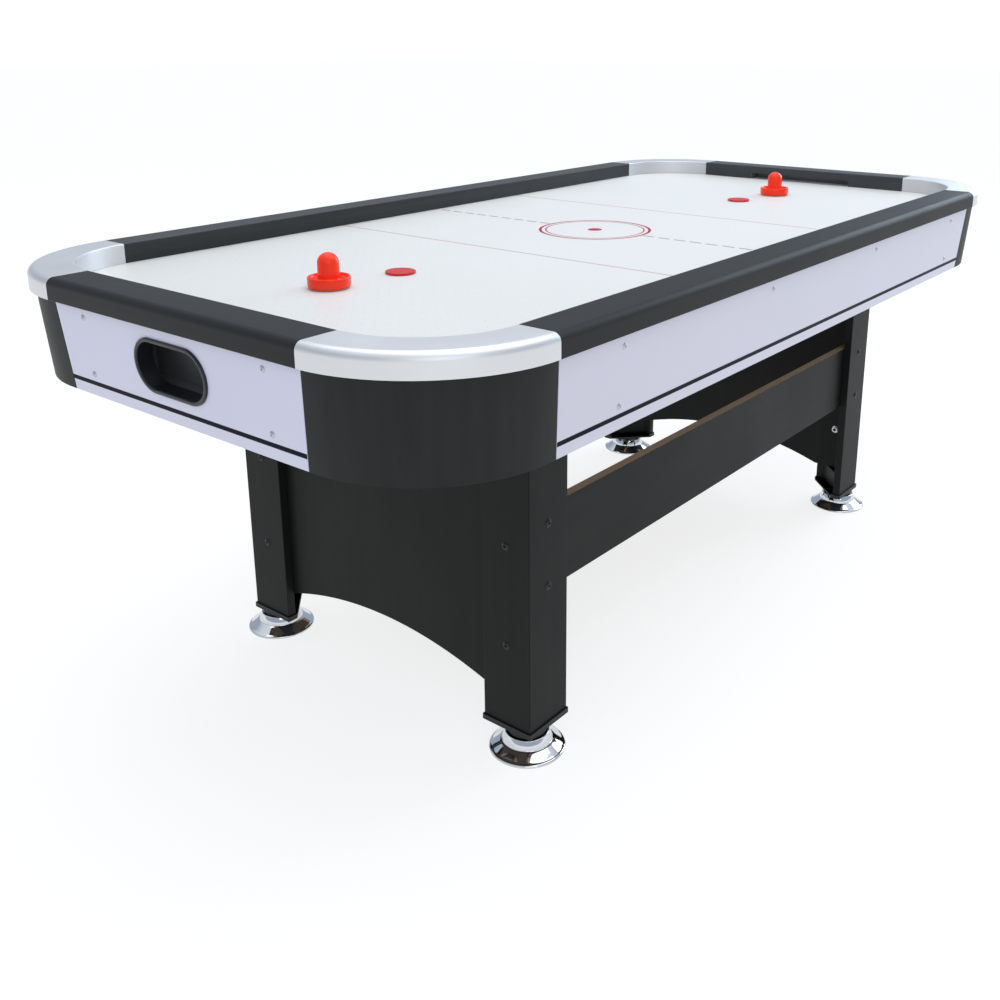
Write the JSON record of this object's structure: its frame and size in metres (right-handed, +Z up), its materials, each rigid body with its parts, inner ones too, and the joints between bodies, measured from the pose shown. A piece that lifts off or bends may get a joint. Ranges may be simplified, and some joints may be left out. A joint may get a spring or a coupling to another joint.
{
  "type": "air hockey table",
  "caption": "Air hockey table with silver rounded corners, slanted aprons, blower, goal boxes, L-shaped legs on chrome feet, mallets and pucks.",
  "frame": {"origin": "on the floor under the centre of the table", "axes": "+X along the table's length from the near goal to the far goal, +Y across it to the left when looking along +X, +Z up"},
  "size_m": [2.134, 1.08, 0.837],
  "materials": {
    "playfield_white": "white laminate with faint gloss, fine grid of air holes, red lines",
    "rail_black": "charcoal foil wrap, satin",
    "cap_silver": "silver paint over moulded plastic, satin gloss",
    "panel_black": "black textured foil",
    "apron_lilac": "pale lilac-grey laminate with a navy stripe",
    "goal_black": "moulded black plastic",
    "pine": "bare softwood",
    "hardboard": "brown hardboard",
    "leg_black": "black laminate over fibreboard, raw brown edge on the stretchers",
    "cap_plastic": "black moulded plastic",
    "zinc": "bright zinc plate",
    "chrome": "mirror chrome",
    "bolt_black": "black oxide",
    "screw_grey": "grey zinc",
    "blower_black": "black moulded plastic",
    "motor_grey": "dark grey enamel",
    "impeller_grey": "glass-filled nylon",
    "rocker_red": "gloss red",
    "mallet_red": "gloss red-orange",
    "felt_white": "white wool felt",
    "puck_red": "satin red"
  },
  "bodies": {
    "table": {"playfield": "playfield_white", "long_rail_right": "rail_black", "long_rail_left": "rail_black", "end_rail_near": "rail_black", "end_rail_far": "rail_black", "corner_cap_near_right": "cap_silver", "corner_cap_near_left": "cap_silver", "corner_cap_far_right": "cap_silver", "corner_cap_far_left": "cap_silver", "corner_panel_near_right": "panel_black", "corner_panel_near_left": "panel_black", "corner_panel_far_right": "panel_black", "corner_panel_far_left": "panel_black", "long_apron_right": "apron_lilac", "long_apron_left": "apron_lilac", "end_apron_near": "apron_lilac", "end_apron_far": "apron_lilac", "goal_box_near": "goal_black", "goal_box_far": "goal_black", "plenum_side_boards": "pine", "plenum_end_boards": "pine", "plenum_ribs": "pine", "bottom_panel": "hardboard", "apron_blocks": "pine", "leg_near_right": "leg_black", "leg_near_left": "leg_black", "leg_far_right": "leg_black", "leg_far_left": "leg_black", "leg_caps": "cap_plastic", "leg_blocks": "leg_black", "leveler_nuts": "zinc", "end_panel_near": "leg_black", "end_panel_far": "leg_black", "stretcher_right": "leg_black", "stretcher_left": "leg_black", "leg_brackets": "zinc", "apron_screws": "screw_grey", "leg_bolts": "bolt_black", "leg_nuts": "zinc", "blower_housing": "blower_black", "blower_screws": "zinc", "fan_motor": "motor_grey", "intake_grille": "blower_black", "switch_box": "blower_black", "power_inlet": "cap_plastic"},
    "leveler_near_right": {"leveler_near_right": "chrome"},
    "leveler_near_left": {"leveler_near_left": "chrome"},
    "leveler_far_right": {"leveler_far_right": "chrome"},
    "leveler_far_left": {"leveler_far_left": "chrome"},
    "fan_rotor": {"impeller": "impeller_grey", "fan_shaft": "zinc"},
    "rocker": {"rocker_switch": "rocker_red"},
    "mallet_near": {"mallet_near": "mallet_red", "mallet_near_felt": "felt_white"},
    "mallet_far": {"mallet_far": "mallet_red", "mallet_far_felt": "felt_white"},
    "puck_near": {"puck_near": "puck_red"},
    "puck_far": {"puck_far": "puck_red"}
  },
  "joints": [
    {"name": "leveler_near_right_screw", "type": "slide", "parent": "table", "child": "leveler_near_right", "axis": [0, 0, -1], "range_m": [0, 0.02]},
    {"name": "leveler_near_left_screw", "type": "slide", "parent": "table", "child": "leveler_near_left", "axis": [0, 0, -1], "range_m": [0, 0.02]},
    {"name": "leveler_far_right_screw", "type": "slide", "parent": "table", "child": "leveler_far_right", "axis": [0, 0, -1], "range_m": [0, 0.02]},
    {"name": "leveler_far_left_screw", "type": "slide", "parent": "table", "child": "leveler_far_left", "axis": [0, 0, -1], "range_m": [0, 0.02]},
    {"name": "fan_spin", "type": "hinge", "parent": "table", "child": "fan_rotor", "pos_m": [0, 0, 0.664], "axis": [0, 0, 1], "continuous": true},
    {"name": "rocker_tilt", "type": "hinge", "parent": "table", "child": "rocker", "pos_m": [0.15, 0, 0.6635], "axis": [0, -1, 0], "range_deg": [0, 18]},
    {"name": "mallet_near_slide", "type": "slide", "parent": "table", "child": "mallet_near", "axis": [0, 1, 0], "range_m": [-0.446, 0.41]},
    {"name": "mallet_far_slide", "type": "slide", "parent": "table", "child": "mallet_far", "axis": [0, 1, 0], "range_m": [-0.366, 0.49]},
    {"name": "puck_near_slide", "type": "slide", "parent": "table", "child": "puck_near", "axis": [1, 0, 0], "range_m": [-0.088, 0.545]},
    {"name": "puck_far_slide", "type": "slide", "parent": "table", "child": "puck_far", "axis": [1, 0, 0], "range_m": [-0.54, 0.084]}
  ]
}
